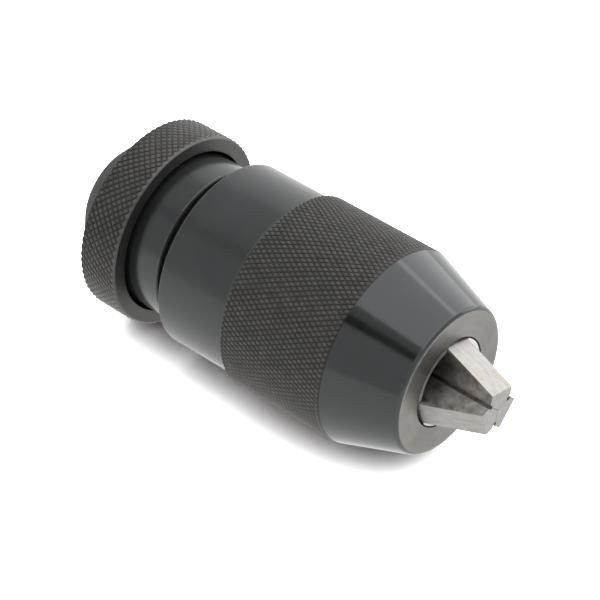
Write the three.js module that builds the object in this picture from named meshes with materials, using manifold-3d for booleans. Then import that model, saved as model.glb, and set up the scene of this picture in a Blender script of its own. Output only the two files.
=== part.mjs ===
// A keyless drill chuck with a ball thrust bearing, closed, lying on its side.
//
// Units are millimetres. The chuck's axis runs along +X, with the jaws at the +X end, and +Z is up.
// Stations are distances along the axis from the chuck's rear face, and every radius is from the axis.
// The last lines move the whole chuck so that X = 0 is half way along it and Z = 0 is the surface
// under it.
import * as THREE from 'three';
import { mergeVertices } from 'three/addons/utils/BufferGeometryUtils.js';
import Module from 'manifold-3d';

const wasm = await Module();
wasm.setup();

// Driving dimensions ---------------------------------------------------------------------------

const LENGTH = 116.8; // rear face to closed jaw tips
const HOOD_R = 25; // the knurled band, the chuck's widest part
const GAP = 0.3; // between neighbouring pieces
const ROUND = 48; // sides of every turned piece
const DEG = Math.PI / 180;

// Stations, from the rear face forward
const RING_REAR_X = 0.4;
const RING_KNURL_X = 10.6;
const RING_FRONT_X = 21.4;
const COLLAR_FRONT_X = 31.05;
const SLEEVE_REAR_X = 34.35;
const HOOD_REAR_X = 54.8;
const CONE_X = 84.4;
const NOSE_X = 102.9;

// Mechanism: jaws slide down a cone while the screw feeds them forward
const JAW_ANGLE = 20.8 * DEG; // between a jaw's travel and the axis
const JAW_SLOPE = Math.tan(JAW_ANGLE);
const TRAVEL = 17; // of the screw along the axis, closed to open
const JAW_ROLL = -14.6 * DEG; // of the first jaw, from straight up towards -Y
const JAW_COUNT = 3;
const JAW_STEP = (2 * Math.PI) / JAW_COUNT;

// Jaws
const JAW_HALF_W = 3.75;
const JAW_THICK = 11; // square to the direction of travel
const TIP_H = 5; // axis to outer face, at the tip
const JAW_TOP = 14; // highest point of a closed jaw
const JAW_REAR_X = 87.8;
const FACE_GAP = 0.05; // between the axis planes and a closed jaw's faces
const RELIEF_FROM = 3.3; // a rebate along the outer edge of each gripping face
const RELIEF_TO = 5;
const RELIEF_DEPTH = 0.42;
const JAW_CLEAR = 0.2; // beside a jaw in its slot
const JAW_HEADROOM = 0.25; // above it

// T-shaped jaw ends, held in the screw's slotted head
const NECK_HALF_W = 2;
const HEAD_HALF_W = 3.3;
const HEAD_THICK = 2;
const NECK_LENGTH = 2.3;
const TEE_LOW = 4;
const TEE_TOP = 13.6;

// Screw
const SCREW_R = 9.7;
const SCREW_HEAD_R = 17.2;
const SLOT_SPACE = 0.2; // beside a T-shaped end in its slot
const LIP_THICK = 1.7;
const FLOOR_THICK = 2.4;
const SCREW_LEAD_IN = 1; // chamfer on the screw's end

// Body
const HUB_R = 15.9;
const TAIL_R = 11.6; // the thinner hub round the socket's mouth
const TAIL_X = 6.5; // shoulder between the two
const SOCKET_MOUTH_R = 7.925; // No. 33 drill chuck taper
const SOCKET_TAPER = 0.03175; // radius lost for each millimetre of depth
const SOCKET_DEPTH = 25.4;
const SOCKET_WALL = 2; // between the socket and the screw's bore
const BORE_R = 10;
const FLANGE_R = 20.3;
const FLANGE_THICK = 6;
const BODY_NOSE_R = 15.6;
const BODY_NOSE_EDGE = 0.8; // chamfer on the body's front edge

// Thrust bearing
const BALL_COUNT = 16;
const BALL_R = 1.6;
const BALL_PITCH_R = 18.4;
const BALL_X = 40.7;
const RACE_FACE = 1.2; // ball centre to the face of a race
const RACE_THICK = 2.7;
const RACE_IN_R = 16.25;
const RACE_OUT_R = 20.55;
const BALL_SPACE = 0.15; // round a ball in its groove and in its pocket
const CAGE_HALF_THICK = 0.8;
const POCKET_SIDES = 12;
const GROOVE_STEPS = 4;

// Shells
const EDGE = 0.6; // chamfer on a knurled edge and on the tail
const SMALL_EDGE = 0.4; // and on a smooth one
const RING_R = 25; // as the hood, so the chuck lies on the full length of both
const RING_BORE_R = 21.1;
const RING_BACK_R = 13.2;
const RING_STEP = 1.1; // the knurl stands proud of the smooth cone behind it
const RING_WEB_X = 12.5;
const COLLAR_R = 20.3;
const SLEEVE_R = 23.7;
const SLEEVE_BORE_R = 20.9;
const SLEEVE_LIP = 1.95;
const SPIGOT_R = 22.4;
const SPIGOT_LENGTH = 7.4;
const HOOD_BORE_R = 22.4;
const NOSE_FACE_R = 17.6;
const NOSE_EDGE_R = 1.4; // rounding of the nose's outer edge
const NOSE_BORE_R = 11.46;
const NOSE_WALL = 3.8;
const NOSE_LAND = 1; // length of the nose's plain bore, before it opens inside
const NOSE_FLARE_R = 13;
const NOSE_EDGE_STEPS = 4;
const INNER_CONE_BACK = 0.9; // the inner cone starts this far ahead of the outer one
const CONE_SLOPE = 0.346; // radius lost for each millimetre
const GUIDE_IN_R = 17.6;
const GUIDE_EYE_R = 10.1;
const GUIDE_RECESS = 0.1; // rim of the guide below the nose's face
const WEB_RECESS = 9.6; // webs between the jaws below the nose's face
const WEB_BACK = 0.5; // their rear, ahead of the jaws' rear

// Materials' colours
const BLACKENED = { color: 0x434240, roughness: 0.42, metalness: 0.85 };
const BLACKENED_NOSE = { color: 0x4a4b4a, roughness: 0.36, metalness: 0.85 };
const GROUND_STEEL = { color: 0xcac5c1, roughness: 0.25, metalness: 1 };
const BRASS = { color: 0xb08d4f, roughness: 0.4, metalness: 1 };

// Shape helpers --------------------------------------------------------------------------------

const chuck = new THREE.Group();

function add(name, geometry, finish) {
  const mesh = new THREE.Mesh(geometry, new THREE.MeshStandardMaterial(finish));
  mesh.name = name;
  chuck.add(mesh);
  return mesh;
}

// A turned piece. The profile's points are [station, radius], out at the rear and back at the front.
// One that starts and ends on the axis is solid, and any other closes on itself round a bore.
function turned(profile, sides = ROUND) {
  const solid = profile[0][1] === 0;
  const loop = solid ? profile : [...profile, profile[0]];
  const points = loop.map(([station, radius]) => new THREE.Vector2(radius, station));
  const geometry = new THREE.LatheGeometry(points, sides);
  geometry.rotateY(Math.PI / sides); // a flat side, not a corner, faces down
  geometry.rotateZ(-Math.PI / 2);
  return geometry;
}

// Points on an arc, as [station, radius] pairs, from one angle to another; 0 points towards +X.
function arc(station, radius, size, from, to, steps) {
  return Array.from({ length: steps + 1 }, (_, i) => {
    const angle = from + ((to - from) * i) / steps;
    return [station + size * Math.cos(angle), radius + size * Math.sin(angle)];
  });
}

function outline(points) {
  return new THREE.Shape(points.map(([x, y]) => new THREE.Vector2(x, y)));
}

// A plate in the plane of the axis and +Y, with its outline in [station, height] points.
function plate(points, halfWidth) {
  const geometry = new THREE.ExtrudeGeometry(outline(points), { depth: 2 * halfWidth, bevelEnabled: false });
  return geometry.translate(0, 0, -halfWidth);
}

function slab(fromX, toX, low, high, halfWidth) {
  return plate([[fromX, low], [toX, low], [toX, high], [fromX, high]], halfWidth);
}

// A bar along the axis, with its section in [height, side] points.
function bar(points, fromX, toX) {
  const geometry = new THREE.ExtrudeGeometry(outline(points), { depth: toX - fromX, bevelEnabled: false });
  const turn = new THREE.Matrix4().makeBasis(
    new THREE.Vector3(0, 1, 0),
    new THREE.Vector3(0, 0, 1),
    new THREE.Vector3(1, 0, 0),
  );
  return geometry.applyMatrix4(turn).translate(fromX, 0, 0);
}

// Booleans
function solidOf(geometry) {
  const bare = geometry.clone();
  bare.deleteAttribute('normal');
  bare.deleteAttribute('uv');
  const merged = mergeVertices(bare, 1e-4);
  return new wasm.Manifold(new wasm.Mesh({
    numProp: 3,
    vertProperties: merged.attributes.position.array,
    triVerts: new Uint32Array(merged.index.array),
  }));
}

function geometryOf(solid) {
  const { vertProperties, triVerts } = solid.getMesh();
  const geometry = new THREE.BufferGeometry();
  geometry.setAttribute('position', new THREE.BufferAttribute(vertProperties, 3));
  geometry.setIndex(new THREE.BufferAttribute(triVerts, 1));
  return geometry;
}

const joined = (...parts) => parts.map(solidOf).reduce((whole, part) => whole.add(part));
const cut = (whole, ...tools) => tools.map(solidOf).reduce((rest, tool) => rest.subtract(tool), whole);

// The same tools turned to each jaw's place round the axis
function atEachJaw(makeTools) {
  return Array.from({ length: JAW_COUNT }, (_, i) => makeTools()
    .map((tool) => tool.rotateX(Math.PI / 2 + JAW_ROLL + i * JAW_STEP))).flat();
}

// Derived places -------------------------------------------------------------------------------

// Outer face of a jaw, and so of its slot, at a station
const jawOuter = (station) => TIP_H + (LENGTH - station) * JAW_SLOPE;
const jawOuterStation = (height) => LENGTH - (height - TIP_H) / JAW_SLOPE;

const NECK_REAR_X = JAW_REAR_X - NECK_LENGTH;
const HEAD_REAR_X = NECK_REAR_X - HEAD_THICK;
const LIP_FRONT_X = JAW_REAR_X - GAP;
const LIP_REAR_X = LIP_FRONT_X - LIP_THICK;
const FLOOR_FRONT_X = HEAD_REAR_X - GAP;
const SCREW_HEAD_REAR_X = FLOOR_FRONT_X - FLOOR_THICK;

// The open screw's head stops just ahead of the body, and its end just ahead of the bore's end
const BODY_FRONT_X = SCREW_HEAD_REAR_X - TRAVEL - GAP;
const BORE_END_X = SOCKET_DEPTH + SOCKET_WALL;
const SCREW_END_X = BORE_END_X + GAP + TRAVEL;

const REAR_RACE_FRONT_X = BALL_X - RACE_FACE;
const FRONT_RACE_REAR_X = BALL_X + RACE_FACE;
const FLANGE_X = FRONT_RACE_REAR_X + RACE_THICK + GAP;
const SPIGOT_FRONT_X = HOOD_REAR_X - GAP + SPIGOT_LENGTH;
const GUIDE_REAR_X = SPIGOT_FRONT_X + GAP;
const SLOT_TOP = JAW_TOP + TRAVEL * JAW_SLOPE + 0.4; // just above an open jaw

// How far a cutting tool runs past what it cuts, and a joined piece into its neighbour
const PAST = 1;
const INTO = 0.2;
const FAR = 5;

// Body, holding ring and collar ----------------------------------------------------------------

// The body: a hub with the taper socket behind, a flange, and the threaded bore in front. The bore
// is plain here, at the thread's outer size.
function chuckBody() {
  const socketEndR = SOCKET_MOUTH_R - SOCKET_DEPTH * SOCKET_TAPER;
  const hub = turned([
    [0, 0], [0, TAIL_R - EDGE], [EDGE, TAIL_R], [TAIL_X, TAIL_R], [TAIL_X, HUB_R], [FLANGE_X, HUB_R],
    [FLANGE_X, FLANGE_R], [FLANGE_X + FLANGE_THICK, FLANGE_R],
    [FLANGE_X + FLANGE_THICK, BODY_NOSE_R], [BODY_FRONT_X - BODY_NOSE_EDGE, BODY_NOSE_R],
    [BODY_FRONT_X, BODY_NOSE_R - BODY_NOSE_EDGE], [BODY_FRONT_X, 0],
  ]);
  const socket = turned([
    [-PAST, 0], [-PAST, SOCKET_MOUTH_R + PAST * SOCKET_TAPER],
    [SOCKET_DEPTH, socketEndR], [SOCKET_DEPTH, 0],
  ]);
  const bore = turned([
    [BORE_END_X, 0], [BORE_END_X, BORE_R], [BODY_FRONT_X + PAST, BORE_R], [BODY_FRONT_X + PAST, 0],
  ]);
  return geometryOf(cut(solidOf(hub), socket, bore));
}

// The knurled ring that one hand holds while the other turns the sleeve: a cone seated on the hub's
// shoulder, with a rim that runs forward round the collar.
function holdingRing() {
  const seatX = TAIL_X - GAP;
  return turned([
    [RING_REAR_X, TAIL_R + GAP], [RING_REAR_X, RING_BACK_R], [RING_KNURL_X, RING_R - RING_STEP],
    [RING_KNURL_X, RING_R], [RING_FRONT_X - EDGE, RING_R], [RING_FRONT_X, RING_R - EDGE],
    [RING_FRONT_X, RING_BORE_R], [RING_WEB_X, RING_BORE_R], [RING_WEB_X, HUB_R + GAP],
    [seatX, HUB_R + GAP], [seatX, TAIL_R + GAP],
  ]);
}

function rearCollar() {
  return turned([
    [RING_WEB_X + GAP, HUB_R + GAP], [RING_WEB_X + GAP, COLLAR_R],
    [COLLAR_FRONT_X - SMALL_EDGE, COLLAR_R], [COLLAR_FRONT_X, COLLAR_R - SMALL_EDGE],
    [COLLAR_FRONT_X, HUB_R + GAP],
  ]);
}

// Thrust bearing -------------------------------------------------------------------------------

// A race with a groove for the balls, facing forward; the mirror image faces back.
function race(faceX, facing) {
  const back = faceX - facing * RACE_THICK;
  const grooveR = BALL_R + BALL_SPACE;
  const reach = Math.acos(RACE_FACE / grooveR);
  const groove = facing > 0
    ? arc(BALL_X, BALL_PITCH_R, grooveR, Math.PI - reach, Math.PI + reach, GROOVE_STEPS)
    : arc(BALL_X, BALL_PITCH_R, grooveR, -reach, reach, GROOVE_STEPS);
  return facing > 0
    ? turned([[back, RACE_IN_R], [back, RACE_OUT_R], [faceX, RACE_OUT_R], ...groove, [faceX, RACE_IN_R]])
    : turned([[faceX, RACE_IN_R], ...groove, [faceX, RACE_OUT_R], [back, RACE_OUT_R], [back, RACE_IN_R]]);
}

function ballPlace(i) {
  const angle = (i * 2 * Math.PI) / BALL_COUNT;
  return new THREE.Vector3(BALL_X, BALL_PITCH_R * Math.cos(angle), BALL_PITCH_R * Math.sin(angle));
}

function ballCage() {
  const rear = BALL_X - CAGE_HALF_THICK;
  const front = BALL_X + CAGE_HALF_THICK;
  const pocketR = BALL_R + BALL_SPACE;
  const ring = turned([[rear, RACE_IN_R], [rear, RACE_OUT_R], [front, RACE_OUT_R], [front, RACE_IN_R]]);
  const pockets = Array.from({ length: BALL_COUNT }, (_, i) => {
    const pocket = new THREE.CylinderGeometry(pocketR, pocketR, 4 * CAGE_HALF_THICK, POCKET_SIDES);
    const place = ballPlace(i);
    return pocket.rotateZ(Math.PI / 2).translate(place.x, place.y, place.z);
  });
  return geometryOf(cut(solidOf(ring), ...pockets));
}

// Sleeve, hood and jaw guide: they turn as one -------------------------------------------------

// The smooth rear sleeve. Its rear lip holds the bearing, and its front end screws into the hood.
function rearSleeve() {
  const front = HOOD_REAR_X - GAP;
  return turned([
    [SLEEVE_REAR_X, RACE_IN_R], [SLEEVE_REAR_X, SLEEVE_R - SMALL_EDGE],
    [SLEEVE_REAR_X + SMALL_EDGE, SLEEVE_R],
    [front, SLEEVE_R], [front, SPIGOT_R], [SPIGOT_FRONT_X, SPIGOT_R],
    [SPIGOT_FRONT_X, SLEEVE_BORE_R],
    [SLEEVE_REAR_X + SLEEVE_LIP, SLEEVE_BORE_R], [SLEEVE_REAR_X + SLEEVE_LIP, RACE_IN_R],
  ]);
}

// The hood: a knurled band that tapers to a nose with a rounded edge and a flat face.
function frontHood() {
  const coneAngle = Math.atan(CONE_SLOPE);
  const edge = arc(
    NOSE_X - NOSE_EDGE_R, NOSE_FACE_R, NOSE_EDGE_R, Math.PI / 2 - coneAngle, 0, NOSE_EDGE_STEPS,
  );
  const innerX = NOSE_X - NOSE_WALL;
  const coneStart = CONE_X + INNER_CONE_BACK;
  const innerR = HOOD_BORE_R - (innerX - coneStart) * CONE_SLOPE;
  return turned([
    [HOOD_REAR_X, SPIGOT_R + GAP], [HOOD_REAR_X, HOOD_R - EDGE], [HOOD_REAR_X + EDGE, HOOD_R],
    [CONE_X, HOOD_R], ...edge,
    [NOSE_X, NOSE_BORE_R], [NOSE_X - NOSE_LAND, NOSE_BORE_R], [innerX, NOSE_FLARE_R],
    [innerX, innerR], [coneStart, HOOD_BORE_R],
    [GUIDE_REAR_X, HOOD_BORE_R], [GUIDE_REAR_X, SPIGOT_R + GAP],
  ]);
}

// The jaw guide fills the hood: a skirt round the screw's head, then a cone with a slot for each jaw.
function jawGuide() {
  const outR = HOOD_BORE_R - GAP;
  const coneStart = CONE_X + INNER_CONE_BACK;
  const shoulderX = NOSE_X - NOSE_WALL - GAP;
  const shoulderR = outR - (shoulderX - coneStart) * CONE_SLOPE;
  const rimX = NOSE_X - GUIDE_RECESS;
  const rimR = NOSE_BORE_R - GAP;
  const websFrontX = NOSE_X - WEB_RECESS;
  const websRearX = JAW_REAR_X + WEB_BACK;
  const body = turned([
    [GUIDE_REAR_X, GUIDE_IN_R], [GUIDE_REAR_X, outR], [coneStart, outR], [shoulderX, shoulderR],
    [shoulderX, NOSE_FLARE_R - GAP], [NOSE_X - NOSE_LAND - GAP, rimR], [rimX, rimR],
    [rimX, GUIDE_EYE_R], [websFrontX, GUIDE_EYE_R], [websFrontX, TEE_LOW], [websRearX, TEE_LOW],
    [websRearX, GUIDE_IN_R],
  ]);
  const slotHalfW = JAW_HALF_W + JAW_CLEAR;
  const slots = atEachJaw(() => [
    plate([
      [GUIDE_REAR_X - FAR, 0], [LENGTH, 0], [LENGTH, TIP_H + JAW_HEADROOM],
      [jawOuterStation(SLOT_TOP - JAW_HEADROOM), SLOT_TOP], [GUIDE_REAR_X - FAR, SLOT_TOP],
    ], slotHalfW),
    slab(shoulderX - INTO, LENGTH, 0, NOSE_FLARE_R, slotHalfW), // through the rim
  ]);
  return geometryOf(cut(solidOf(body), ...slots));
}

// Screw and jaws -------------------------------------------------------------------------------

// The screw's left-hand thread is plain here, at its outer size. Its head has a T-slot for each jaw.
function leadScrew() {
  const blank = turned([
    [SCREW_END_X, 0], [SCREW_END_X, SCREW_R - SCREW_LEAD_IN],
    [SCREW_END_X + SCREW_LEAD_IN, SCREW_R],
    [SCREW_HEAD_REAR_X, SCREW_R], [SCREW_HEAD_REAR_X, SCREW_HEAD_R],
    [LIP_FRONT_X, SCREW_HEAD_R], [LIP_FRONT_X, 0],
  ]);
  const reach = SCREW_HEAD_R + PAST;
  const slots = atEachJaw(() => [
    slab(FLOOR_FRONT_X, LIP_REAR_X, -PAST, reach, HEAD_HALF_W + SLOT_SPACE),
    slab(LIP_REAR_X - INTO, LIP_FRONT_X + PAST, -PAST, reach, NECK_HALF_W + SLOT_SPACE),
  ]);
  return geometryOf(cut(solidOf(blank), ...slots));
}

// One jaw, along +Y: a bar that slopes down to the tip, ground to a 120 degree edge that lies on
// the axis, with a small rebate along each gripping face and a T-shaped end.
function jaw() {
  const innerDrop = JAW_THICK / Math.cos(JAW_ANGLE);
  const innerRear = jawOuter(JAW_REAR_X) - innerDrop;
  const onAxisX = jawOuterStation(innerDrop);
  const blank = plate([
    [JAW_REAR_X, innerRear], [onAxisX, 0], [LENGTH, 0], [LENGTH, TIP_H],
    [jawOuterStation(JAW_TOP), JAW_TOP], [JAW_REAR_X, JAW_TOP],
  ], JAW_HALF_W);
  const neck = slab(NECK_REAR_X - INTO, JAW_REAR_X + INTO, TEE_LOW + INTO, TEE_TOP, NECK_HALF_W);
  const head = slab(HEAD_REAR_X, NECK_REAR_X, TEE_LOW, TEE_TOP, HEAD_HALF_W);

  const halfEdge = JAW_STEP / 2;
  const reach = 2 * JAW_TOP;
  const side = (reach - FACE_GAP) * Math.tan(halfEdge);
  const edge = bar([[FACE_GAP, 0], [reach, -side], [reach, side]], HEAD_REAR_X - PAST, LENGTH + PAST);

  // A rebate's corner, from its distance along the face and its depth below it
  const corner = (out, deep, hand) => [
    FACE_GAP + out * Math.cos(halfEdge) + deep * Math.sin(halfEdge),
    hand * (out * Math.sin(halfEdge) - deep * Math.cos(halfEdge)),
  ];
  const rebates = [-1, 1].map((hand) => bar([
    corner(RELIEF_FROM, -PAST, hand), corner(RELIEF_TO, -PAST, hand),
    corner(RELIEF_TO, RELIEF_DEPTH, hand), corner(RELIEF_FROM, RELIEF_DEPTH, hand),
  ], JAW_REAR_X, LENGTH + PAST));
  return cut(joined(blank, neck, head).intersect(solidOf(edge)), ...rebates);
}

// Assembly -------------------------------------------------------------------------------------

add('chuck_body', chuckBody(), BLACKENED);
add('holding_ring', holdingRing(), BLACKENED);
add('rear_collar', rearCollar(), BLACKENED);
add('rear_sleeve', rearSleeve(), BLACKENED);
add('front_hood', frontHood(), BLACKENED_NOSE);
add('jaw_guide', jawGuide(), GROUND_STEEL);
add('rear_race', race(REAR_RACE_FRONT_X, 1), GROUND_STEEL);
add('front_race', race(FRONT_RACE_REAR_X, -1), GROUND_STEEL);
add('ball_cage', ballCage(), BRASS);
for (let i = 0; i < BALL_COUNT; i += 1) {
  const ball = add(`bearing_ball_${i + 1}`, new THREE.IcosahedronGeometry(BALL_R, 1), GROUND_STEEL);
  ball.position.copy(ballPlace(i));
}
add('lead_screw', leadScrew(), GROUND_STEEL);
for (let i = 0; i < JAW_COUNT; i += 1) {
  const piece = add(`jaw_${i + 1}`, geometryOf(jaw()), GROUND_STEEL);
  piece.rotation.x = Math.PI / 2 + JAW_ROLL + i * JAW_STEP;
}

// The knurled band's flat sides touch the surface
chuck.position.set(-LENGTH / 2, 0, HOOD_R * Math.cos(Math.PI / ROUND));

export default chuck;
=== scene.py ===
"""The looks of a keyless drill chuck: satin blackened shells with diamond knurling, ground jaws,
and the turned and bright pieces inside. Lengths in this script are metres unless a name says mm."""

import math
from collections import defaultdict

import bmesh
import bpy
from mathutils import Matrix, Vector


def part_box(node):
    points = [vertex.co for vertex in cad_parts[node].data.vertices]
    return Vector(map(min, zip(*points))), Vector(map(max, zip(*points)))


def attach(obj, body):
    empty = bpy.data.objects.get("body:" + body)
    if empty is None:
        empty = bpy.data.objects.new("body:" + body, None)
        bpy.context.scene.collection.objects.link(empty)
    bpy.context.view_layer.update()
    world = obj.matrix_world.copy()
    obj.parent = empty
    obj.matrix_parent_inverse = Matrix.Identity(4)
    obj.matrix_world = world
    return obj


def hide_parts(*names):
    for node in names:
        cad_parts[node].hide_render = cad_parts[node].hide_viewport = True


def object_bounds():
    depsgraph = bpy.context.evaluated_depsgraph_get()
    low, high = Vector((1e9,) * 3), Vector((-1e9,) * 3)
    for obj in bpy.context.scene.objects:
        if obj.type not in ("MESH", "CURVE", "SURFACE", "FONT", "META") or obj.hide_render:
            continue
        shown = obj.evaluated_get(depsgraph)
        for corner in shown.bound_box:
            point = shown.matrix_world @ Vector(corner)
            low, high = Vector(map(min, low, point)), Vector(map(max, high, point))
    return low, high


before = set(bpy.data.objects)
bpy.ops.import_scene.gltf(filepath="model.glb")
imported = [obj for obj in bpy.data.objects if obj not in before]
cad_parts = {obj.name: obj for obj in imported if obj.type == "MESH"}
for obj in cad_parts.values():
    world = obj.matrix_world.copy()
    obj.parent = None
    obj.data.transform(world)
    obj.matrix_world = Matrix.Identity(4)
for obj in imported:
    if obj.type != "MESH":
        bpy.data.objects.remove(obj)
cad_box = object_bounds()

MM = 0.001
SHAFT_HEIGHT = (cad_box[0][2] + cad_box[1][2]) / 2

# Driving sizes of the surface work ------------------------------------------------------------

ON_SHAFT = 0.001 * MM  # a point nearer the shaft than this is on it
CORNER = 0.22 * MM  # usual rounding of a turned corner
CORNER_STEPS = 4
CORNER_ROOM = 0.42  # most of a side that the rounding at one of its ends may take
STRAIGHT_BEND = math.radians(176)  # flatter bends than this are left as they are
FULL_WEAR_TURN = math.radians(60)  # sharper turns than this get full wear on outer corners and full painted shade in inner ones
WEAR_REACH = 0.35 * MM  # how far bare metal spreads from a corner
CREASE = math.radians(38)  # sharper meetings of faces than this are shaded as edges
SHELL_SIDES = 192
RACE_SIDES = 96
RACE_CORNER = 0.12 * MM
HOOD_STARTS = 116  # grooves each way round the hood, cut at 30 degrees
HOOD_LEAD = 2.37 * MM
HOOD_DEPTH = 0.2 * MM
RING_STARTS = 80  # grooves each way round the ring, cut at 45 degrees
RING_LEAD = 1.94 * MM
RING_DEPTH = 0.26 * MM
CREST_SHARE = 0.34  # flat top of a knurl diamond, as a share of its width
REAR_CONE = 10.3 * MM  # length of the ring's smooth rear cone
NOSE_CONE = 17.4 * MM  # length from the hood's knurling to its tip
NOSE_FACE = 0.6 * MM  # length at the tip in which the bare end face lies
JAW_EDGE = 0.16 * MM
INNER_EDGE = 0.12 * MM  # broken edges of the guide and the screw
CAGE_EDGE = 0.1 * MM
BROKEN_EDGE = math.radians(32)  # meetings of faces sharper than this are broken on a kept CAD node
WELD_REACH = 0.002 * MM
BALL_ROWS, BALL_COLUMNS = 12, 24


# Turned pieces --------------------------------------------------------------------------------

def cad_profile(node):
    """The section that a turned CAD node was spun from: a loop of (x, radius) points."""
    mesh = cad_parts[node].data
    same_turn = 1e-3
    places = []
    for vertex in mesh.vertices:
        across, up = vertex.co.y, vertex.co.z - SHAFT_HEIGHT
        places.append((round(vertex.co.x, 6), round(math.hypot(across, up), 6), math.atan2(up, across)))
    beside = defaultdict(set)
    for edge in mesh.edges:
        start, end = (places[i] for i in edge.vertices)
        turn = abs(start[2] - end[2]) if min(start[1], end[1]) > ON_SHAFT else 0.0
        if turn < same_turn and start[:2] != end[:2]:
            beside[start[:2]].add(end[:2])
            beside[end[:2]].add(start[:2])
    on_shaft = [point for point in beside if point[1] < ON_SHAFT]
    loop = [min(on_shaft or beside)]
    while True:
        onward = [point for point in sorted(beside[loop[-1]]) if point not in loop]
        if not onward:
            return loop
        loop.append(onward[0])


def outward(loop):
    """The loop, in the direction that runs forward along the outside, with the metal on its right."""
    area = sum(a[0] * b[1] - b[0] * a[1] for a, b in zip(loop, loop[1:] + loop[:1]))
    return loop if area < 0 else loop[::-1]


def softened(points, closed, corner=CORNER):
    """Rounds each corner. Returns (x, radius, wear, shade) points: wear is 1 on an outer corner, and
    the painted shade, which darkens the colour, is 1 in an inner one; both fade out a short way along each
    side."""
    made = []
    count = len(points)
    for i, point in enumerate(points):
        here = Vector(point[:2])
        if not closed and i in (0, count - 1):
            made.append((here.x, here.y, 0.0, 0.0))
            continue
        back = Vector(points[i - 1][:2]) - here
        ahead = Vector(points[(i + 1) % count][:2]) - here
        bend = back.angle(ahead)
        if here.y < ON_SHAFT or bend > STRAIGHT_BEND:
            made.append((here.x, here.y, 0.0, 0.0))
            continue
        shorter = min(back.length, ahead.length)
        setback = min(corner / math.tan(bend / 2), CORNER_ROOM * shorter)
        start, end = here + back.normalized() * setback, here + ahead.normalized() * setback
        outer = back.x * ahead.y - back.y * ahead.x > 0
        exposed = (back.normalized() + ahead.normalized()).y < 0
        strength = min(1.0, (math.pi - bend) / FULL_WEAR_TURN)
        wear = strength if outer and exposed else 0.0
        # Inner corners get painted shade: their colour is darkened.
        grime = 0.0 if outer else strength
        reach = min(WEAR_REACH, 0.5 * shorter - setback)
        if reach > ON_SHAFT:
            hold = here + back.normalized() * (setback + reach)
            made.append((hold.x, hold.y, 0.0, 0.0))
        for step in range(CORNER_STEPS + 1):
            t = step / CORNER_STEPS
            spot = start.lerp(here, t).lerp(here.lerp(end, t), t)
            made.append((spot.x, spot.y, wear, grime))
        if reach > ON_SHAFT:
            hold = here + ahead.normalized() * (setback + reach)
            made.append((hold.x, hold.y, 0.0, 0.0))
    return made


class Skin:
    """Gathers a mesh's points and faces round the shaft, with the wear and the painted shade at each point.
    Faces are gathered as seen from inside the metal, and piece() turns them to face out."""

    def __init__(self, sides):
        self.sides = sides
        self.points, self.faces, self.wear, self.grime = [], [], [], []

    def add(self, x, radius, column, wear=0.0, grime=0.0):
        angle = 2 * math.pi * column / self.sides
        self.points.append((x, radius * math.cos(angle), SHAFT_HEIGHT + radius * math.sin(angle)))
        self.wear.append(wear)
        self.grime.append(grime)
        return len(self.points) - 1

    def ring(self, point):
        x, radius, wear, grime = point
        if radius < ON_SHAFT:
            return [self.add(x, 0.0, 0, wear, grime)] * self.sides
        return [self.add(x, radius, column, wear, grime) for column in range(self.sides)]

    def band(self, first, second):
        for i in range(self.sides):
            j = (i + 1) % self.sides
            corners = [first[i], second[i], second[j], first[j]]
            face = list(dict.fromkeys(corners))
            if len(face) > 2:
                self.faces.append(face)

    def run(self, points):
        """Spins an open run of points and returns its first and last rings."""
        rings = [self.ring(point) for point in points]
        for first, second in zip(rings, rings[1:]):
            self.band(first, second)
        return rings[0], rings[-1]

    def piece(self, name):
        mesh = bpy.data.meshes.new(name)
        mesh.from_pydata(self.points, [], [face[::-1] for face in self.faces])
        mesh.update()
        mesh.shade_smooth()
        mesh.set_sharp_from_angle(angle=CREASE)
        # The shade attribute carries the painted shade that the materials darken by.
        for label, values in (("wear", self.wear), ("grime", self.grime)):
            mesh.attributes.new(label, "FLOAT", "POINT").data.foreach_set("value", values)
        made = bpy.data.objects.new(name, mesh)
        bpy.context.scene.collection.objects.link(made)
        normals = made.modifiers.new("even_normals", "WEIGHTED_NORMAL")
        normals.keep_sharp = True
        return made


def turned_piece(name, node, sides=SHELL_SIDES, corner=CORNER):
    """A smooth turned piece with rounded corners, on a CAD node's own section."""
    loop = outward(cad_profile(node))
    skin = Skin(sides)
    closed = min(point[1] for point in loop) > ON_SHAFT
    if not closed:
        start = next(i for i, point in enumerate(loop) if max(point[1], loop[i - 1][1]) < ON_SHAFT)
        loop = loop[start:] + loop[:start]
    first, last = skin.run(softened(loop, closed, corner))
    if closed:
        skin.band(last, first)
    return skin.piece(name)


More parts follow.
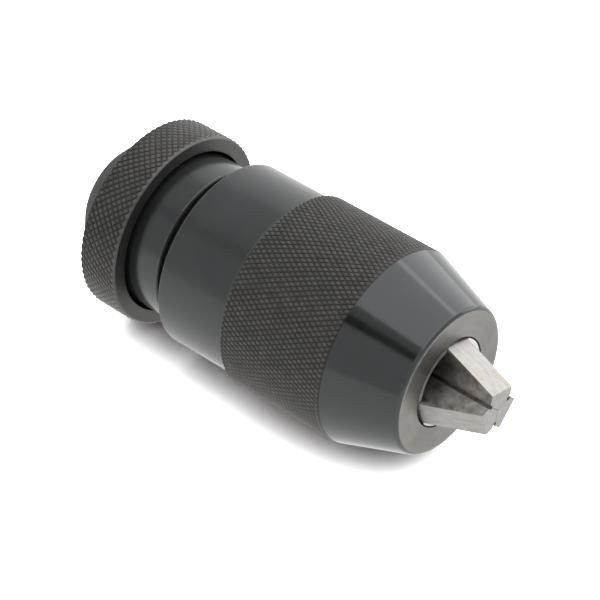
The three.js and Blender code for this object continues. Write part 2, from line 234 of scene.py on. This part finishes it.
def knurl_rows(skin, start_x, end_x, crest, valley, starts, lead):
    """Cuts two crossing sets of grooves. Every second point of the net is where grooves cross, and
    between four of those stands a diamond with a small flat top. Returns the crossings and tops by
    (row, column) and the last row's number, for closing on to the smooth metal beside it."""
    share = CREST_SHARE
    count = max(2, round((end_x - start_x) / (lead / 2)))
    step = (end_x - start_x) / count
    columns = 2 * starts
    crossing, tops = {}, {}
    # The crossings lie in the groove bottoms and get full painted shade; the diamonds' flat tops get full
    # wear.
    for row in range(count + 1):
        for column in range(columns):
            if (row + column) % 2 == 0:
                crossing[row, column] = skin.add(start_x + row * step, valley, column, 0.0, 1.0)
    for row in range(count + 1):
        for column in range(columns):
            if (row + column) % 2 == 0:
                continue
            x = start_x + row * step
            top = {
                "left": skin.add(x, crest, column - share, 1.0),
                "right": skin.add(x, crest, column + share, 1.0),
            }
            if row > 0:
                top["rear"] = skin.add(x - share * step, crest, column, 1.0)
            if row < count:
                top["front"] = skin.add(x + share * step, crest, column, 1.0)
            tops[row, column] = top
            around = {
                "left": crossing[row, (column - 1) % columns],
                "right": crossing[row, (column + 1) % columns],
                "rear": crossing.get((row - 1, column)),
                "front": crossing.get((row + 1, column)),
            }
            order = ("left", "front", "right", "rear")
            skin.faces.append([top[side] for side in order if side in top])
            for side, after in zip(order, order[1:] + order[:1]):
                if side in top and after in top:
                    skin.faces.append([around[side], around[after], top[after], top[side]])
    return crossing, tops, count


def close_knurl(skin, crossing, tops, row, smooth, front):
    """Joins the edge row of a knurled band to a ring of the smooth metal beside it."""
    columns = skin.sides
    for column in range(columns):
        if (row + column) % 2 == 0:
            continue
        left, right = (column - 1) % columns, (column + 1) % columns
        top = tops[row, column]
        faces = [
            [crossing[row, left], smooth[left], smooth[column], top["left"]],
            [top["left"], smooth[column], top["right"]],
            [top["right"], smooth[column], smooth[right], crossing[row, right]],
        ]
        skin.faces.extend(faces if front else [face[::-1] for face in faces])


def knurled_piece(name, node, starts, lead, depth, run_out):
    """A turned piece whose widest outside length is knurled. run_out lets the grooves fade on to
    the cone in front, and otherwise they end at the chamfer there."""
    loop = outward(cad_profile(node))
    widest = max(point[1] for point in loop)
    sides = list(zip(loop, loop[1:] + loop[:1]))
    rear_end = next(i for i, (point, after) in enumerate(sides) if point[1] == after[1] == widest)
    loop = loop[rear_end + 1:] + loop[:rear_end + 1]
    crest = min(widest, SHAFT_HEIGHT)  # the crests touch the floor and don't go into it
    valley = crest - depth
    front, rear = loop[0], loop[-1]
    rest = loop[1:-1]
    if run_out:
        slope = (front[1] - rest[0][1]) / (rest[0][0] - front[0])
        rest = [(front[0] + (front[1] - valley) / slope, valley)] + rest
    skin = Skin(2 * starts)
    crossing, tops, count = knurl_rows(skin, rear[0], front[0], crest, valley, starts, lead)
    first, last = skin.run(softened(rest, False))
    close_knurl(skin, crossing, tops, count, first, True)
    close_knurl(skin, crossing, tops, 0, last, False)
    return skin.piece(name)


# Node helpers ---------------------------------------------------------------------------------

def put(tree, kind, links=None, **settings):
    """Adds a node, sets its options, and feeds its inputs from sockets or plain values."""
    made = tree.nodes.new(kind)
    for option, value in settings.items():
        setattr(made, option, value)
    for place, value in (links or {}).items():
        if isinstance(value, bpy.types.NodeSocket):
            tree.links.new(value, made.inputs[place])
        else:
            made.inputs[place].default_value = value
    return made


def maths(tree, operation, *values, clamp=False):
    made = put(tree, "ShaderNodeMath", dict(enumerate(values)), operation=operation, use_clamp=clamp)
    return made.outputs[0]


def ramped(tree, value, low, high, to_low=0.0, to_high=1.0):
    """Maps a value from one range to another, clamped."""
    return put(tree, "ShaderNodeMapRange", {
        "Value": value, "From Min": low, "From Max": high, "To Min": to_low, "To Max": to_high,
    }).outputs["Result"]


def blended(tree, factor, first, second):
    """Mixes two colours: all first at 0, all second at 1."""
    mix = put(tree, "ShaderNodeMix", {0: factor, 6: first, 7: second}, data_type="RGBA")
    return mix.outputs[2]


def effect(name, inputs, outputs):
    """An empty shader node group, with its input and output nodes."""
    tree = bpy.data.node_groups.new(name, "ShaderNodeTree")
    for label, value in inputs.items():
        kind = "NodeSocketColor" if isinstance(value, tuple) else "NodeSocketFloat"
        tree.interface.new_socket(label, in_out="INPUT", socket_type=kind).default_value = value
    for label, kind in outputs.items():
        tree.interface.new_socket(label, in_out="OUTPUT", socket_type=kind)
    return tree, tree.nodes.new("NodeGroupInput").outputs, tree.nodes.new("NodeGroupOutput").inputs


def use(tree, group, **values):
    """Places an effect in a material. A value's name is the input's, with _ for spaces."""
    links = {label.replace("_", " ").title(): value for label, value in values.items()}
    return put(tree, "ShaderNodeGroup", links, node_tree=group)


# Effects shared by the materials ----------------------------------------------------------------

def turning_lines():
    """Fine tool lines round the shaft: rings along a cylinder or cone, and circles on a face."""
    tree, given, out = effect(
        "turning lines",
        {"Lines Per Metre": 9000.0, "Unevenness": 0.35},
        {"Height": "NodeSocketFloat", "Streaks": "NodeSocketFloat"},
    )
    broad_lines_per_metre = 900.0
    position = put(tree, "ShaderNodeTexCoord").outputs["Object"]
    place = put(tree, "ShaderNodeSeparateXYZ", {0: position}).outputs
    up = maths(tree, "SUBTRACT", place["Z"], SHAFT_HEIGHT)
    squares = [maths(tree, "POWER", side, 2.0) for side in (place["Y"], up)]
    radius = maths(tree, "SQRT", maths(tree, "ADD", *squares))
    along = maths(tree, "ADD", place["X"], radius)
    lines = put(tree, "ShaderNodeTexNoise", {
        "W": maths(tree, "MULTIPLY", along, given["Lines Per Metre"]), "Scale": 1.0, "Detail": 3.0,
        "Roughness": 0.7,
    }, noise_dimensions="1D").outputs["Fac"]
    broad = put(tree, "ShaderNodeTexNoise", {
        "W": maths(tree, "MULTIPLY", along, broad_lines_per_metre), "Scale": 1.0, "Detail": 2.0,
    }, noise_dimensions="1D").outputs["Fac"]
    uneven = maths(tree, "MULTIPLY", broad, given["Unevenness"])
    tree.links.new(maths(tree, "ADD", lines, uneven), out["Height"])
    tree.links.new(broad, out["Streaks"])
    return tree


def handling_marks():
    """Broad uneven patches that hands, oil and storage leave, and a fine mottle in the finish."""
    tree, given, out = effect(
        "handling marks",
        {"Patch Size": 0.012, "Mottle Size": 0.0006},
        {"Patches": "NodeSocketFloat", "Mottle": "NodeSocketFloat"},
    )
    place = put(tree, "ShaderNodeTexCoord").outputs["Object"]
    patches = put(tree, "ShaderNodeTexNoise", {
        "Vector": place, "Scale": maths(tree, "DIVIDE", 1.0, given["Patch Size"]), "Detail": 4.0,
        "Roughness": 0.55, "Distortion": 0.6,
    }).outputs["Fac"]
    mottle = put(tree, "ShaderNodeTexNoise", {
        "Vector": place, "Scale": maths(tree, "DIVIDE", 1.0, given["Mottle Size"]), "Detail": 2.0,
    }).outputs["Fac"]
    tree.links.new(ramped(tree, patches, 0.32, 0.68), out["Patches"])
    tree.links.new(ramped(tree, mottle, 0.3, 0.7), out["Mottle"])
    return tree


def corner_wear_and_shade():
    """Where corners have rubbed bare, and where inner corners and knurl valleys are darkened as painted
    shade, broken up by noise.
    """
    tree, given, out = effect(
        "corner wear and shade",
        {"Wear Amount": 0.6, "Grime Amount": 0.6},
        {"Wear": "NodeSocketFloat", "Grime": "NodeSocketFloat"},
    )
    place = put(tree, "ShaderNodeTexCoord").outputs["Object"]
    breaks_per_metre = 420.0
    least_share = 0.35
    breaks = put(tree, "ShaderNodeTexNoise", {
        "Vector": place, "Scale": breaks_per_metre, "Detail": 4.0, "Roughness": 0.65,
    }).outputs["Fac"]
    for label, low, high in (("Wear", 0.3, 0.62), ("Grime", 0.15, 0.6)):
        mask = put(tree, "ShaderNodeAttribute", attribute_name=label.lower()).outputs["Fac"]
        broken = maths(tree, "MULTIPLY", mask, ramped(tree, breaks, low, high, least_share, 1.0))
        tree.links.new(maths(tree, "MULTIPLY", broken, given[f"{label} Amount"], clamp=True), out[label])
    return tree


def ground_grain():
    """Fine scratches along the shaft, as a surface grinder leaves."""
    tree, given, out = effect(
        "ground grain",
        {"Scratch Width": 0.00012},
        {"Height": "NodeSocketFloat", "Tone": "NodeSocketFloat"},
    )
    width_to_length = 0.022
    broad_scratches_per_metre = 900.0
    place = put(tree, "ShaderNodeTexCoord").outputs["Object"]
    stretched = put(tree, "ShaderNodeVectorMath", {
        0: place, 1: (width_to_length, 1.0, 1.0),
    }, operation="MULTIPLY").outputs[0]
    fine = put(tree, "ShaderNodeTexNoise", {
        "Vector": stretched, "Scale": maths(tree, "DIVIDE", 1.0, given["Scratch Width"]), "Detail": 3.0,
        "Roughness": 0.6,
    }).outputs["Fac"]
    broad = put(tree, "ShaderNodeTexNoise", {
        "Vector": stretched, "Scale": broad_scratches_per_metre, "Detail": 2.0,
    }).outputs["Fac"]
    tree.links.new(fine, out["Height"])
    tree.links.new(ramped(tree, maths(tree, "ADD", fine, broad), 0.75, 1.25), out["Tone"])
    return tree


TURNING_LINES = turning_lines()
HANDLING_MARKS = handling_marks()
CORNER_WEAR_AND_SHADE = corner_wear_and_shade()
GROUND_GRAIN = ground_grain()


# Materials ------------------------------------------------------------------------------------

def surface(name):
    """A new material, its node tree and its main shader."""
    made = bpy.data.materials.new(name)
    made.use_nodes = True
    tree = made.node_tree
    return made, tree, tree.nodes["Principled BSDF"]


def bump(tree, height, distance):
    return put(tree, "ShaderNodeBump", {"Height": height, "Distance": distance}).outputs["Normal"]


def weighed(tree, first, share, second):
    """Adds two values, the first with that share of the whole and the second with the rest."""
    parts = (maths(tree, "MULTIPLY", first, share), maths(tree, "MULTIPLY", second, 1 - share))
    return maths(tree, "ADD", *parts)


def blackened(name, dark, light, bare, rough=(0.2, 0.3), wear=0.6, grime=0.6, depth=0.000004, gloss=1.56,
              sheen=(0.95, 1.0, 1.02, 1.0)):
    """Steel under a hot black oxide: a dark glossy coat, with faint tool lines, patches, bare metal
    where corners have rubbed, and painted shade that darkens inner corners and knurl valleys."""
    made, tree, shader = surface(name)
    marks = use(tree, HANDLING_MARKS).outputs
    turned = use(tree, TURNING_LINES).outputs
    wear_and_shade = use(tree, CORNER_WEAR_AND_SHADE, wear_amount=wear, grime_amount=grime).outputs
    # Painted shade: the coat's dark tone at about a third, for inner corners and knurl valleys.
    painted_shade_tone = tuple(0.35 * channel for channel in dark[:3]) + (1.0,)
    oxide = blended(tree, weighed(tree, marks["Patches"], 0.65, marks["Mottle"]), dark, light)
    colour_with_painted_shade = blended(tree, wear_and_shade["Grime"], oxide, painted_shade_tone)
    tree.links.new(blended(tree, wear_and_shade["Wear"], colour_with_painted_shade, bare), shader.inputs["Base Color"])
    satin = weighed(tree, marks["Patches"], 0.5, turned["Streaks"])
    tree.links.new(ramped(tree, satin, 0.2, 0.8, *rough), shader.inputs["Roughness"])
    tree.links.new(bump(tree, turned["Height"], depth), shader.inputs["Normal"])
    tree.links.new(wear_and_shade["Wear"], shader.inputs["Metallic"])
    shader.inputs["IOR"].default_value = gloss
    shader.inputs["Specular Tint"].default_value = sheen
    return made


def ground_steel(name):
    """Bright ground steel of the jaws, with a lengthwise grain and faint straw staining."""
    made, tree, shader = surface(name)
    grain = use(tree, GROUND_GRAIN).outputs
    marks = use(tree, HANDLING_MARKS, patch_size=0.009, mottle_size=0.0009).outputs
    clean = blended(tree, grain["Tone"], (0.25, 0.24, 0.23, 1.0), (0.37, 0.357, 0.345, 1.0))
    stain = ramped(tree, marks["Patches"], 0.66, 1.0, 0.0, 0.4)
    tree.links.new(blended(tree, stain, clean, (0.34, 0.29, 0.23, 1.0)), shader.inputs["Base Color"])
    tree.links.new(ramped(tree, grain["Tone"], 0.0, 1.0, 0.38, 0.48), shader.inputs["Roughness"])
    tree.links.new(bump(tree, grain["Height"], 0.000002), shader.inputs["Normal"])
    shader.inputs["Metallic"].default_value = 1.0
    return made


def painted_shade_flank(name):
    """The jaws' sides, painted near black with an olive cast as shade, with brown streaks along them."""
    made, tree, shader = surface(name)
    grain = use(tree, GROUND_GRAIN, scratch_width=0.0003).outputs
    marks = use(tree, HANDLING_MARKS, patch_size=0.004, mottle_size=0.0008).outputs
    wear_and_shade = use(tree, CORNER_WEAR_AND_SHADE, wear_amount=0.55).outputs
    # Painted shade: the sides' colour is kept near black.
    base = blended(tree, grain["Tone"], (0.006, 0.0058, 0.0042, 1.0), (0.017, 0.016, 0.0125, 1.0))
    brown = maths(tree, "MULTIPLY", ramped(tree, marks["Patches"], 0.6, 1.0), 0.5)
    streaked = blended(tree, brown, base, (0.036, 0.027, 0.017, 1.0))
    rubbed = blended(tree, wear_and_shade["Wear"], streaked, (0.4, 0.38, 0.35, 1.0))
    tree.links.new(rubbed, shader.inputs["Base Color"])
    tree.links.new(ramped(tree, grain["Tone"], 0.0, 1.0, 0.3, 0.45), shader.inputs["Roughness"])
    tree.links.new(bump(tree, grain["Height"], 0.000003), shader.inputs["Normal"])
    shader.inputs["Metallic"].default_value = 0.95
    return made


def turned_steel(name, dark=(0.17, 0.17, 0.165, 1.0), light=(0.24, 0.24, 0.23, 1.0), rough=(0.26, 0.38)):
    """Plain turned steel: circular tool lines and a thin film of oil."""
    made, tree, shader = surface(name)
    turned = use(tree, TURNING_LINES, lines_per_metre=7000.0).outputs
    marks = use(tree, HANDLING_MARKS).outputs
    wear_and_shade = use(tree, CORNER_WEAR_AND_SHADE, wear_amount=0.7, grime_amount=0.7).outputs
    base = blended(tree, marks["Patches"], dark, light)
    # Painted shade: inner corners darkened to a near-black brown.
    colour_with_painted_shade = blended(tree, wear_and_shade["Grime"], base, (0.04, 0.036, 0.03, 1.0))
    tree.links.new(blended(tree, wear_and_shade["Wear"], colour_with_painted_shade, (0.5, 0.49, 0.47, 1.0)), shader.inputs["Base Color"])
    tree.links.new(ramped(tree, turned["Streaks"], 0.25, 0.75, *rough), shader.inputs["Roughness"])
    tree.links.new(bump(tree, turned["Height"], 0.000004), shader.inputs["Normal"])
    shader.inputs["Metallic"].default_value = 1.0
    return made


def hard_bright_steel(name):
    """Lapped bearing steel: nearly a mirror, with a fine cloudiness."""
    made, tree, shader = surface(name)
    marks = use(tree, HANDLING_MARKS, patch_size=0.003, mottle_size=0.0003).outputs
    base = blended(tree, marks["Patches"], (0.62, 0.62, 0.63, 1.0), (0.72, 0.72, 0.72, 1.0))
    tree.links.new(base, shader.inputs["Base Color"])
    tree.links.new(ramped(tree, marks["Mottle"], 0.0, 1.0, 0.1, 0.18), shader.inputs["Roughness"])
    shader.inputs["Metallic"].default_value = 1.0
    return made


def cage_brass(name):
    """Stamped brass of the ball cage, a little tarnished."""
    made, tree, shader = surface(name)
    marks = use(tree, HANDLING_MARKS, patch_size=0.004, mottle_size=0.0005).outputs
    base = blended(tree, marks["Patches"], (0.46, 0.27, 0.09, 1.0), (0.66, 0.43, 0.16, 1.0))
    tree.links.new(base, shader.inputs["Base Color"])
    tree.links.new(ramped(tree, marks["Mottle"], 0.0, 1.0, 0.3, 0.46), shader.inputs["Roughness"])
    tree.links.new(bump(tree, marks["Mottle"], 0.000006), shader.inputs["Normal"])
    shader.inputs["Metallic"].default_value = 1.0
    return made


# Placing ---------------------------------------------------------------------------------------

def stands_for(piece, node, body, slot, *materials):
    """Gives a piece its materials, hides the CAD node that it stands for, and attaches it to its body. The
    finish slot is not used.
    """
    for material in materials:
        piece.data.materials.append(material)
    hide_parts(node)
    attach(piece, body)
    return piece


def dressed(node, material, edge):
    """Keeps a CAD node, with a finish and slightly broken edges."""
    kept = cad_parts[node]
    kept.data.materials.clear()
    kept.data.materials.append(material)
    weld = kept.modifiers.new("joined_corners", "WELD")
    weld.merge_threshold = WELD_REACH
    rounding = kept.modifiers.new("broken_edges", "BEVEL")
    rounding.width = edge
    rounding.segments = 2
    rounding.limit_method = "ANGLE"
    rounding.angle_limit = BROKEN_EDGE
    rounding.harden_normals = True


def paint_faces(piece, index, chosen):
    """Gives the material of that index to the faces for which chosen(centre, normal) is true."""
    for face in piece.data.polygons:
        if chosen(face.center, face.normal):
            face.material_index = index


def build_shells():
    oxide = {
        "dark": (0.006, 0.0062, 0.0062, 1.0),
        "light": (0.011, 0.0114, 0.0112, 1.0),
        "bare": (0.3, 0.29, 0.275, 1.0),
    }
    warm = (1.0, 0.985, 0.95, 1.0)
    # The knurl's valleys are darkened almost fully as painted shade.
    knurled = blackened("blackened_knurl", **oxide, rough=(0.3, 0.4), wear=0.22, grime=0.95, depth=0.000002,
                        gloss=1.34, sheen=warm)
    smooth = blackened("blackened_satin", **oxide, rough=(0.2, 0.28), wear=0.16, depth=0.000003)
    polished = blackened("blackened_cone", **oxide, rough=(0.1, 0.15), wear=0.14, depth=0.000001)
    cold = blackened("blackened_collar", **oxide, rough=(0.18, 0.26), wear=0.14, depth=0.000003)
    matt = blackened("blackened_rear_cone", **oxide, rough=(0.6, 0.72), wear=0.1, gloss=1.3, sheen=warm)
    faced = blackened("blackened_ring_face", **oxide, rough=(0.34, 0.42), wear=0.2, gloss=1.62, sheen=warm)
    nose = turned_steel("turned_nose_face", dark=(0.145, 0.144, 0.134, 1.0), light=(0.19, 0.188, 0.175, 1.0),
                        rough=(0.3, 0.4))

    ring = knurled_piece("knurled_holding_ring", "holding_ring", RING_STARTS, RING_LEAD, RING_DEPTH, False)
    stands_for(ring, "holding_ring", "body", "blackened_steel", knurled, matt, faced)
    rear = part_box("holding_ring")[0].x
    paint_faces(ring, 1, lambda at, facing: at.x < rear + REAR_CONE)
    paint_faces(ring, 2, lambda at, facing: facing.x > 0.5)

    collar = turned_piece("smooth_rear_collar", "rear_collar")
    stands_for(collar, "rear_collar", "body", "blackened_steel", cold)

    sleeve = turned_piece("smooth_rear_sleeve", "rear_sleeve")
    stands_for(sleeve, "rear_sleeve", "sleeve", "blackened_steel", smooth)

    hood = knurled_piece("knurled_front_hood", "front_hood", HOOD_STARTS, HOOD_LEAD, HOOD_DEPTH, True)
    stands_for(hood, "front_hood", "sleeve", "blackened_steel", knurled, polished, nose)
    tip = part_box("front_hood")[1].x
    paint_faces(hood, 1, lambda at, facing: at.x > tip - NOSE_CONE)
    paint_faces(hood, 2, lambda at, facing: at.x > tip - NOSE_FACE and facing.x > 0.9)

    core = turned_piece("bored_chuck_body", "chuck_body")
    stands_for(core, "chuck_body", "body", "hardened_steel", turned_steel("turned_hub"))


def build_bearing():
    bright = hard_bright_steel("lapped_bearing_steel")
    for node, body in (("rear_race", "sleeve"), ("front_race", "body")):
        race = turned_piece("grooved_" + node, node, sides=RACE_SIDES, corner=RACE_CORNER)
        stands_for(race, node, body, "hardened_steel", bright)
    dressed("ball_cage", cage_brass("tarnished_brass"), CAGE_EDGE)
    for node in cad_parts:
        if node.startswith("bearing_ball"):
            build_ball(node, bright)


def build_ball(node, finish):
    """A true ball in place of a faceted one."""
    low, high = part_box(node)
    centre, radius = (low + high) / 2, (high - low).length / (2 * math.sqrt(3))
    points, faces = [Vector((-radius, 0, 0)), Vector((radius, 0, 0))], []
    for row in range(1, BALL_ROWS):
        lean = math.pi * row / BALL_ROWS
        for column in range(BALL_COLUMNS):
            turn = 2 * math.pi * column / BALL_COLUMNS
            across = Vector((0, math.cos(turn), math.sin(turn)))
            points.append(radius * (math.sin(lean) * across - math.cos(lean) * Vector((1, 0, 0))))

    def index(row, column):
        return 2 + (row - 1) * BALL_COLUMNS + column % BALL_COLUMNS

    for column in range(BALL_COLUMNS):
        faces.append([0, index(1, column + 1), index(1, column)])
        faces.append([1, index(BALL_ROWS - 1, column), index(BALL_ROWS - 1, column + 1)])
        for row in range(1, BALL_ROWS - 1):
            near, far = ([index(line, column), index(line, column + 1)] for line in (row, row + 1))
            faces.append(near + far[::-1])
    mesh = bpy.data.meshes.new("round_" + node)
    mesh.from_pydata([point + centre for point in points], [], faces)
    mesh.shade_smooth()
    ball = bpy.data.objects.new("round_" + node, mesh)
    bpy.context.scene.collection.objects.link(ball)
    stands_for(ball, node, "cage", "hardened_steel", finish)


def build_jaw(node, body, ground, flank):
    """A jaw with broken edges: its outer face and tip are ground bright, and the rest is painted
    near black as shade, rubbed lighter by use."""
    low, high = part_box(node)
    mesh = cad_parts[node].data.copy()
    mesh.name = "ground_" + node
    mesh.materials.clear()
    shape = bmesh.new()
    shape.from_mesh(mesh)
    bmesh.ops.remove_doubles(shape, verts=shape.verts, dist=WELD_REACH)
    bmesh.ops.dissolve_limit(shape, angle_limit=math.radians(1), verts=shape.verts, edges=shape.edges)
    sharp = [edge for edge in shape.edges if edge.calc_face_angle(0) > math.radians(20)]
    made = bmesh.ops.bevel(
        shape, geom=sharp, offset=JAW_EDGE, offset_type="OFFSET", segments=2, profile=0.5,
        affect="EDGES", clamp_overlap=True,
    )
    rounded = set(made["faces"])
    middle = (low + high) / 2
    away = Vector((0, middle.y, middle.z - SHAFT_HEIGHT)).normalized()
    for face in shape.faces:
        face.smooth = True
        # Faces that look neither out nor forward get the flank material, painted near black as shade.
        ground_bright = face.normal.dot(away) > 0.5 or face.normal.x > 0.7
        face.material_index = 0 if ground_bright else 1
    # Each corner of a flank is also on a rounded edge, so the wear spreads over the whole flank.
    wear = shape.verts.layers.float.new("wear")
    for vert in shape.verts:
        vert[wear] = 1.0 if any(face in rounded for face in vert.link_faces) else 0.0
    shape.to_mesh(mesh)
    shape.free()
    piece = bpy.data.objects.new("ground_" + node, mesh)
    bpy.context.scene.collection.objects.link(piece)
    piece.modifiers.new("even_normals", "WEIGHTED_NORMAL").keep_sharp = True
    stands_for(piece, node, body, "jaw_steel", ground, flank)


def build_jaws():
    ground = ground_steel("ground_jaw_steel")
    flank = painted_shade_flank("jaw_flank_painted_shade")
    for node, body in (("jaw_1", "first_jaw"), ("jaw_2", "second_jaw"), ("jaw_3", "third_jaw")):
        build_jaw(node, body, ground, flank)
    guide = turned_steel("turned_guide", dark=(0.42, 0.43, 0.44, 1.0), light=(0.54, 0.55, 0.56, 1.0))
    dressed("jaw_guide", guide, INNER_EDGE)
    dressed("lead_screw", turned_steel("turned_screw"), INNER_EDGE)


# Studio ----------------------------------------------------------------------------------------

def pale_floor():
    """White paper, which shows as plain white with a painted soft dark contact shadow, and lights the part
    from below with an even glow."""
    mesh = bpy.data.meshes.new("studio_floor")
    reach = 3.0
    corners = [(-reach, -reach, 0), (reach, -reach, 0), (reach, reach, 0), (-reach, reach, 0)]
    mesh.from_pydata(corners, [], [[0, 1, 2, 3]])
    floor = bpy.data.objects.new("studio_floor", mesh)
    bpy.context.scene.collection.objects.link(floor)
    made, tree, _ = surface("pale_paper")
    # Painted contact shadow: for camera rays, the paper's colour turns mauve grey where ambient occlusion
    # finds the part near.
    shadow_reach = 30 * MM
    open_sky = put(tree, "ShaderNodeAmbientOcclusion", {"Distance": shadow_reach}, samples=16).outputs["AO"]
    outside_painted_shadow = ramped(tree, open_sky, 0.16, 0.42)
    paper_with_painted_shadow = blended(tree, outside_painted_shadow, (0.3, 0.25, 0.26, 1.0), (2.6, 2.6, 2.6, 1.0))
    straight = put(tree, "ShaderNodeBsdfDiffuse", {"Color": paper_with_painted_shadow}).outputs[0]
    spread = put(tree, "ShaderNodeBsdfDiffuse", {"Color": (0.2, 0.2, 0.2, 1.0)}).outputs[0]
    glow = put(tree, "ShaderNodeEmission", {"Color": (1.0, 0.995, 0.985, 1.0), "Strength": 1.15}).outputs[0]
    around = put(tree, "ShaderNodeAddShader", {0: spread, 1: glow}).outputs[0]
    seen = put(tree, "ShaderNodeLightPath").outputs["Is Camera Ray"]
    paper = put(tree, "ShaderNodeMixShader", {0: seen, 1: around, 2: straight}).outputs[0]
    tree.links.new(paper, tree.nodes["Material Output"].inputs["Surface"])
    mesh.materials.append(made)


def soft_light(name, place, aim, width, height, watts):
    data = bpy.data.lights.new(name, "AREA")
    data.shape = "RECTANGLE"
    data.size, data.size_y, data.energy = width, height, watts
    lamp = bpy.data.objects.new(name, data)
    lamp.location = place
    lamp.rotation_euler = (Vector(aim) - Vector(place)).to_track_quat("-Z", "Y").to_euler()
    bpy.context.scene.collection.objects.link(lamp)


def card(name, first, second, width, tone):
    """A long card across the studio, from one direction to another as (azimuth, elevation) in
    degrees, which draws a dark line down each smooth curve."""
    far = 1.35
    ends = []
    for azimuth, elevation in (first, second):
        turn, lift = math.radians(azimuth), math.radians(elevation)
        level = math.cos(lift)
        ends.append(far * Vector((level * math.cos(turn), level * math.sin(turn), math.sin(lift))))
    along = (ends[1] - ends[0]).normalized()
    across = along.cross((ends[0] + ends[1]).normalized()) * (width / 2)
    mesh = bpy.data.meshes.new(name)
    corners = [ends[0] - across, ends[1] - across, ends[1] + across, ends[0] + across]
    mesh.from_pydata(corners, [], [[0, 1, 2, 3]])
    held = bpy.data.objects.new(name, mesh)
    bpy.context.scene.collection.objects.link(held)
    made, _, shader = surface(name + "_cloth")
    shader.inputs["Base Color"].default_value = (tone, tone, tone, 1.0)
    shader.inputs["Specular IOR Level"].default_value = 0.0
    mesh.materials.append(made)


def studio():
    """A white room with three soft lights, a black card and a grey one."""
    scene = bpy.context.scene
    scene.view_settings.view_transform = "Standard"
    scene.world = bpy.data.worlds.new("white_room")
    scene.world.use_nodes = True
    room = scene.world.node_tree.nodes["Background"]
    room.inputs["Color"].default_value = (1.0, 1.0, 1.0, 1.0)
    room.inputs["Strength"].default_value = 0.95
    middle = (0.0, 0.0, SHAFT_HEIGHT)
    soft_light("overhead_softbox", (0.42, 0.4, 1.0), (0.42, 0.4, 0.0), 1.55, 1.5, 9.5)
    soft_light("rear_softbox", (0.25, 1.5, 0.62), middle, 1.4, 1.5, 11.0)
    soft_light("left_fill", (-1.1, 0.9, 0.6), middle, 1.4, 1.2, 2.8)
    card("black_flag", (-56, 51), (-112, 50), 0.22, 0.0)
    card("grey_flag", (-60, 60), (-145, 44), 0.3, 0.45)


def camera():
    """Looks down on the nose end from its right, with the shaft running up to the left."""
    place = Vector((0.307163, -0.353469, 0.433132))
    forward = Vector((-0.4944, 0.5683, -0.6578)).normalized()
    data = bpy.data.cameras.new("studio_camera")
    data.sensor_width, data.lens = 36.0, 158.84
    data.clip_start, data.clip_end = 0.05, 20.0
    seen_from = bpy.data.objects.new("studio_camera", data)
    right = forward.cross(Vector((0, 0, 1))).normalized()
    turn = Matrix((right, right.cross(forward), -forward)).transposed()
    seen_from.matrix_world = Matrix.Translation(place) @ turn.to_4x4()
    bpy.context.scene.collection.objects.link(seen_from)
    bpy.context.scene.camera = seen_from


build_shells()
build_bearing()
build_jaws()
pale_floor()
studio()
camera()
